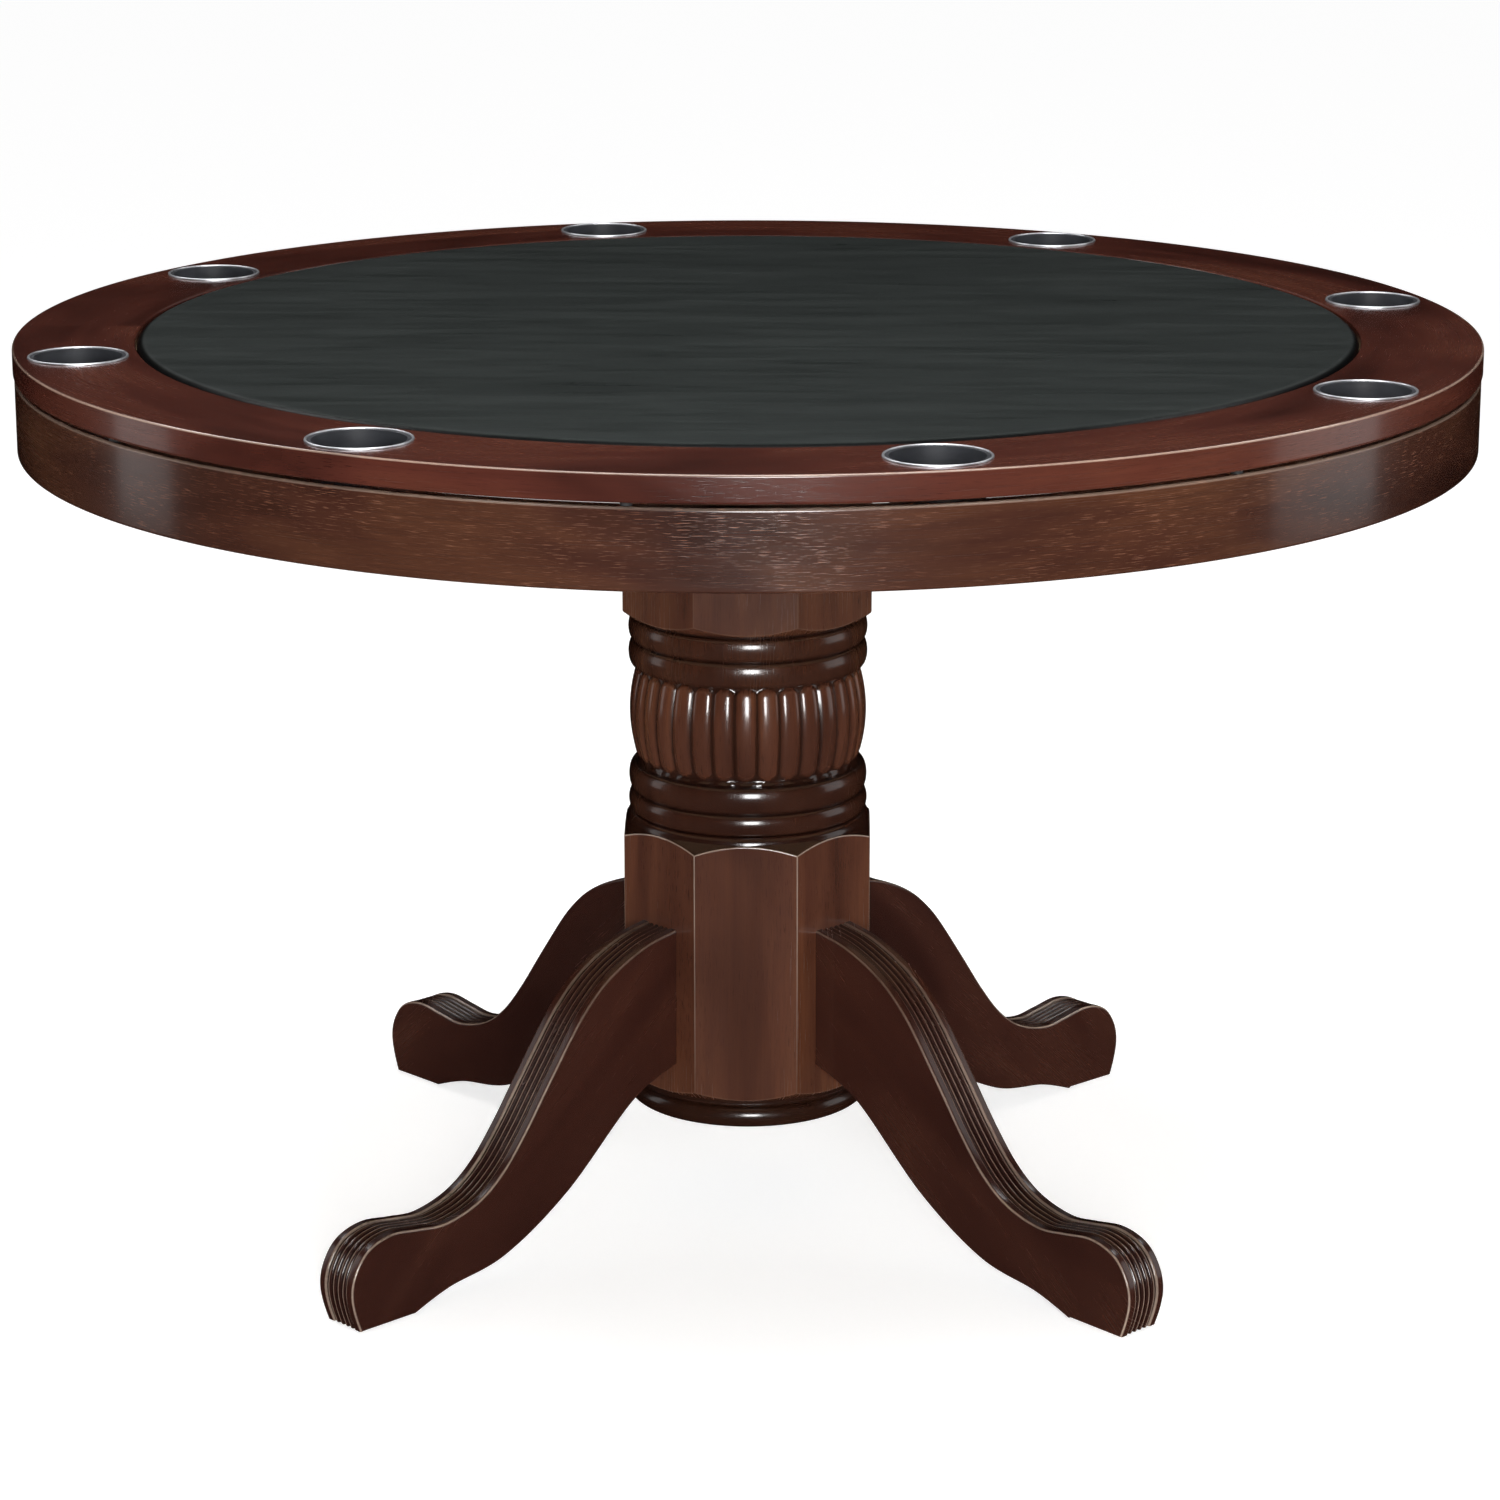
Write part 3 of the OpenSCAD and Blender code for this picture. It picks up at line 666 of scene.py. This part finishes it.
def post_outline():
    """Blocks run out past the octagon's corners; beads and bulb stay inside it."""
    past_corner, groove, neck, shoulder_tall = 12 * MM, 97.5 * MM, 94.2 * MM, 6.5 * MM
    cone_r = APOTHEM - 1.1 * MM
    end_r = APOTHEM - 1 * MM
    out = APOTHEM + past_corner
    shoulder_z = 345.6 * MM
    end_slope, cone_tall, bulb_steps = 10 * MM, 11.5 * MM, 56
    lower = [(0, BLOCK_LOW_Z), (end_r, BLOCK_LOW_Z), (out, BLOCK_LOW_Z + end_slope),
             (out, shoulder_z - cone_tall), (cone_r, shoulder_z)]
    shoulder = arc(groove, shoulder_z, cone_r - groove, shoulder_tall, 12, 90, 9)
    bulb = [(neck, BULB_FOOT + (BULB_TOP - BULB_FOOT) * i / bulb_steps)
            for i in range(bulb_steps + 1)]
    upper = [(groove, 524 * MM), (end_r, 526.5 * MM), (out, 536.5 * MM),
             (out, POST_HIGH[2]), (0, POST_HIGH[2])]
    return (lower + shoulder
            + bead(352 * MM, 370.5 * MM, groove, 102.3 * MM)
            + bead(371 * MM, BULB_FOOT, groove, 102 * MM)
            + bulb
            + bead(BULB_TOP, 502 * MM, groove, 102 * MM)
            + bead(502.5 * MM, 523 * MM, groove, 102 * MM)
            + upper)


def reed_crest(z):
    """How far out the reeds' crests stand at a height, fullest in the middle of the bulb."""
    crown_r, crown_z, swell, half_h = 101.2 * MM, 439 * MM, 5.6 * MM, 38.2 * MM
    return crown_r - swell * ((z - crown_z) / half_h) ** 2


def carve_reeds(bm):
    """Raises convex reeds round the bulb out of its neck, each rounded off at both ends."""
    low, high = BULB_FOOT + 5 * MM, BULB_TOP - 1.5 * MM
    depth, roundness, end, neck = 3.3 * MM, 2.8, 6 * MM, 92.6 * MM
    end_drop, cove_tall, cove_deep, cove_curl = 2.6 * MM, 2 * MM, 3.6 * MM, 1.6
    scallop = 0.9 * MM
    neck_from, neck_to = 90 * MM, 96 * MM
    for corner in bm.verts:
        z = corner.co.z
        out = math.hypot(corner.co.x, corner.co.y)
        if not (BULB_FOOT < z < BULB_TOP and neck_from < out < neck_to):
            continue
        across = math.atan2(corner.co.y, corner.co.x) / TURN * REEDS
        across = abs(across - round(across)) * 2
        radius = neck
        if low < z < high:
            near = min(1.0, min(z - low, high - z) / end)
            narrow = math.sqrt(1 - (1 - near) ** 2)
            drop = end_drop * (1 - narrow)
            flank = depth * (across / max(narrow, 0.05)) ** roundness
            radius = max(neck, reed_crest(z) - drop - flank)
        if z < low + cove_tall:
            cove_z = low + cove_tall
            cove = neck + cove_deep * ((cove_z - z) / (cove_z - BULB_FOOT)) ** cove_curl
            radius = max(radius, cove - scallop * across ** 2)
        corner.co.x *= radius / out
        corner.co.y *= radius / out


def make_post():
    """A turned post, cut to an octagon wherever it stands out past the flats."""
    facets_per_reed, easing, sharpest = 12, 0.9 * MM, math.radians(22)
    scallops_low, scallops_high = 332 * MM, 350 * MM
    scallop_highlight, arris_highlight = 0.9, 0.10
    bm = turned(post_outline(), REEDS * facets_per_reed)
    carve_reeds(bm)
    for k in range(8):
        face_to = Vector((math.cos(k * TURN / 8), math.sin(k * TURN / 8), 0))
        cut = bmesh.ops.bisect_plane(bm, geom=bm.verts[:] + bm.edges[:] + bm.faces[:], dist=1e-7,
                                     plane_co=face_to * APOTHEM, plane_no=face_to, clear_outer=True)
        rims = [e for e in cut["geom_cut"] if isinstance(e, bmesh.types.BMEdge)]
        bmesh.ops.holes_fill(bm, edges=rims, sides=0)
    bmesh.ops.remove_doubles(bm, verts=bm.verts, dist=2e-6)
    bmesh.ops.recalc_face_normals(bm, faces=bm.faces)
    arrises = [e for e in bm.edges if len(e.link_faces) == 2 and on_octagon(e)
               and e.calc_face_angle() > sharpest]
    eased = bmesh.ops.bevel(bm, geom=arrises, affect="EDGES", offset=easing, offset_type="OFFSET",
                            segments=2, profile=0.5, material=-1, clamp_overlap=True)
    # Painted highlight: a pale line along the eased arrises, strongest on the scallop edges.
    edge_highlight = bm.verts.layers.float.new("edge_highlight")
    eased_faces = set(eased["faces"])
    for corner in {corner for face in eased_faces for corner in face.verts}:
        if all(face in eased_faces for face in corner.link_faces):
            scalloped = scallops_low < corner.co.z < scallops_high
            corner[edge_highlight] = scallop_highlight if scalloped else arris_highlight
    post = finish_piece(bm, "post_wood", POST_WOOD, sharp=50)
    lay_grain(post, grain_upright(APOTHEM))
    mark(post, "dark_tone_and_shade", turned_darkening)
    return ride(post, "base", "pedestal_wood", "pedestal_post")


def turned_darkening(out, corner):
    """Darker tone on the turned length of the post, darker the deeper a point lies in its grooves, a
    little darker on the top block, and painted shade on the shoulder above the scallops.
    """
    flats_end, shoulder_end, top_block = 325 * MM, 350 * MM, 526 * MM
    z = corner.co.z
    if z > top_block:
        return 0.3
    if z < flats_end or off_octagon(corner.co) > -0.1 * MM:
        return 0.0
    # Painted shade: the upward-facing shoulder above the scallops goes fully dark, as it lies in shade
    # under the top.
    if z < shoulder_end:
        return 1.0
    if BULB_FOOT + 5 * MM < z < BULB_TOP - 1.5 * MM:
        return min(1.0, 0.1 + max(0.0, reed_crest(z) - 1.2 * MM - out) / (2.0 * MM))
    return min(1.0, 0.72 + max(0.0, 101 * MM - out) / (6 * MM))


def off_octagon(point):
    """How far a point stands out past the nearest flat of the post, or in from it if negative."""
    bearing = math.atan2(point.y, point.x)
    turn = bearing - round(bearing / (TURN / 8)) * TURN / 8
    return math.hypot(point.x, point.y) * math.cos(turn) - APOTHEM


def on_octagon(edge):
    """Whether both ends of an edge lie on a flat of the post."""
    return all(abs(off_octagon(end.co)) < 1e-5 for end in edge.verts)


def make_base_cap():
    """The turned bead that closes the post underneath."""
    crease_z = BLOCK_LOW_Z - 5.5 * MM
    groove = 95.5 * MM
    outline = ([(0, CAP_LOW_Z)]
               + arc(groove, (CAP_LOW_Z + crease_z) / 2, CAP_R - groove, (crease_z - CAP_LOW_Z) / 2,
                     -90, 78, 20)
               + [(101 * MM, crease_z)]
               + arc(101.2 * MM, crease_z + 1.8 * MM, 1.8 * MM, 1.8 * MM, -60, 30, 5)
               + [(103 * MM, BLOCK_LOW_Z), (0, BLOCK_LOW_Z)])
    cap = finish_piece(turned(outline, 192), "post_foot_bead", POST_WOOD)
    lay_grain(cap, grain_round(CAP_R))
    mark(cap, "dark_tone_and_shade", lambda _out, _corner: 1.0)
    return ride(cap, "base", "pedestal_wood", "base_cap")


# ------------------------------------------------------------------ legs

LEG_TOP_LINE = [(105, 267), (135, 261.5), (163, 251), (186, 238), (205, 222), (222, 203),
                (252, 163), (278, 127.5), (303, 99), (330, 80.5), (364, 71.5), (392, 74),
                (418, 77.5), (438, 74), (452, 65.5), (462, 50), (465, 34), (462, 17), (456, 0)]
LEG_LOW_LINE = [(105, 147), (155, 126), (230, 64), (300, 26), (362, 14), (403, 0)]


def in_metres(line):
    """A line of points in millimetres, as points in metres."""
    return [Vector((x * MM, z * MM)) for x, z in line]


def above_glide(curve):
    """The part of a leg's line that stays above the foot's sole, ending on the sole."""
    kept = [p for p in curve if p.y > GLIDE_DROP]
    nxt = curve[len(kept)] if len(kept) < len(curve) else curve[-1]
    share = (kept[-1].y - GLIDE_DROP) / (kept[-1].y - nxt.y)
    return kept + [kept[-1].lerp(nxt, share)]


def reeded_edge():
    """The moulded edge of a leg as (across, depth): two broad outer bands, four reeds between."""
    half, band, reeds = LEG_THICK / 2, 9.5 * MM, 4
    reed = (LEG_THICK - 2 * band) / reeds
    corner, inner, reed_deep, set_in = 2.4 * MM, 2.4 * MM, 2.6 * MM, 0.3 * MM
    turns = [math.radians(90 * k / 5) for k in range(6)]
    side = [(-half + corner * (1 - math.cos(a)), corner * (1 - math.sin(a))) for a in turns]
    side += [(-half + band - inner * (1 - math.cos(a)), inner * (1 - math.sin(a)))
             for a in reversed(turns)]
    points = list(side)
    for n in range(reeds):
        start = -half + band + n * reed
        for k in range(9):
            t = -1 + 2 * k / 8
            deep = set_in + reed_deep * (1 - math.sqrt(1 - t * t))
            if k or n:
                points.append((start + reed * (0.04 + 0.92 * (t + 1) / 2), deep))
    return points + [(-across, deep) for across, deep in reversed(side)]


def leg_highlight(across, deep):
    """How strong the painted highlight is across a leg's moulded edge: on its outer corners, the inner
    edges of its bands and the reed crests.
    """
    from_side = LEG_THICK / 2 - abs(across)
    if from_side < 1.0 * MM and deep < 1.0 * MM:
        return 0.75
    if abs(from_side - 8.6 * MM) < 0.8 * MM and deep < 1.0 * MM:
        return 0.65
    return 0.7 if from_side > 9.5 * MM and deep < 0.35 * MM else 0.0


def make_leg(place, angle):
    """A sawn leg with a moulded upper edge, laid station by station from post to toe.

    Each leg is cut from another length of the board, so that no two have the same grain.
    """
    stations = 120
    top = even_steps(above_glide(smooth_curve(in_metres(LEG_TOP_LINE), 12)), stations)
    low = even_steps(above_glide(smooth_curve(in_metres(LEG_LOW_LINE), 24)), stations)
    edge = reeded_edge()
    half, ease = LEG_THICK / 2, 2 * MM
    under = [(half, ease)] + [(half - ease * (1 - math.cos(a)), ease * (1 - math.sin(a)))
                              for a in (math.pi / 6, math.pi / 3, math.pi / 2)]
    under = under + [(-across, deep) for across, deep in reversed(under)]
    section = [("top", *p) for p in edge] + [("low", *p) for p in under] + [("top", *edge[0])]

    def normal(line, i, side):
        before, after = line[max(i - 1, 0)], line[min(i + 1, stations)]
        run = (after - before).normalized()
        return Vector((-run.y, run.x)) * side

    def place_corner(u, v):
        i = round(v * stations)
        which, across, deep = section[round(u * (len(section) - 1))]
        line, side = (top, 1) if which == "top" else (low, -1)
        spot = line[i] - normal(line, i, side) * deep
        return Vector((spot.x, across, max(spot.y, GLIDE_DROP)))

    bm = laid_grid(len(section) - 1, stations, place_corner)
    edge_highlight, dark_tone_and_shade = (bm.verts.layers.float.new(name) for name in ("edge_highlight", "dark_tone_and_shade"))
    shoulder_z, fade, full_dark_depth, outer = 260 * MM, 110 * MM, 2.0 * MM, 3 * MM
    for n, corner in enumerate(bm.verts):
        which, across, deep = section[n % len(section)]
        if which == "top":
            # Painted highlight along the moulding, faded towards the shoulder at the post, which gets
            # less light.
            low_down = min(1.0, max(0.3, (shoulder_z - corner.co.z) / fade))
            corner[edge_highlight] = leg_highlight(across, deep) * low_down
            # Darker the deeper a point lies in the moulding's grooves.
            corner[dark_tone_and_shade] = min(1.0, deep / full_dark_depth) if half - abs(across) > outer else 0.0
    bmesh.ops.remove_doubles(bm, verts=bm.verts, dist=1e-6)
    ends = [e for e in bm.edges if e.is_boundary]
    bmesh.ops.holes_fill(bm, edges=ends, sides=0)
    for corner in bm.verts:
        corner.co.x = max(corner.co.x, APOTHEM)
    bmesh.ops.recalc_face_normals(bm, faces=bm.faces)
    leg = finish_piece(bm, f"leg_{place}_wood", LEG_WOOD, sharp=40)
    slope = math.radians(-40)
    board = 0.7 * list(LEG_ANGLES).index(place)
    end_share = 0.6

    def grain(point, _centre, _normal):
        along = point.x * math.cos(slope) + point.z * math.sin(slope)
        upward = point.z * math.cos(slope) - point.x * math.sin(slope)
        return (along + board, upward + end_share * point.y)

    lay_grain(leg, grain)
    turn = math.radians(angle)
    for corner in leg.data.vertices:
        x, y = corner.co.x, corner.co.y
        corner.co.x = x * math.cos(turn) - y * math.sin(turn)
        corner.co.y = x * math.sin(turn) + y * math.cos(turn)
    return ride(leg, "base", "leg_wood", f"leg_{place}")


def ride(piece, body, slot, *nodes):
    """Puts a piece on its body, in the place of its nodes; its slot is not used."""
    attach(piece, body)
    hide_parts(*nodes)
    return piece


# ------------------------------------------------------------------ the table

set_camera()
light_studio()
lay_floor()
finish_cad_nodes()
make_top_rim()
make_vinyl_pad()
for number in CUPS:
    make_cup(number)
make_apron()
make_post()
make_base_cap()
for place, angle in LEG_ANGLES.items():
    make_leg(place, angle)
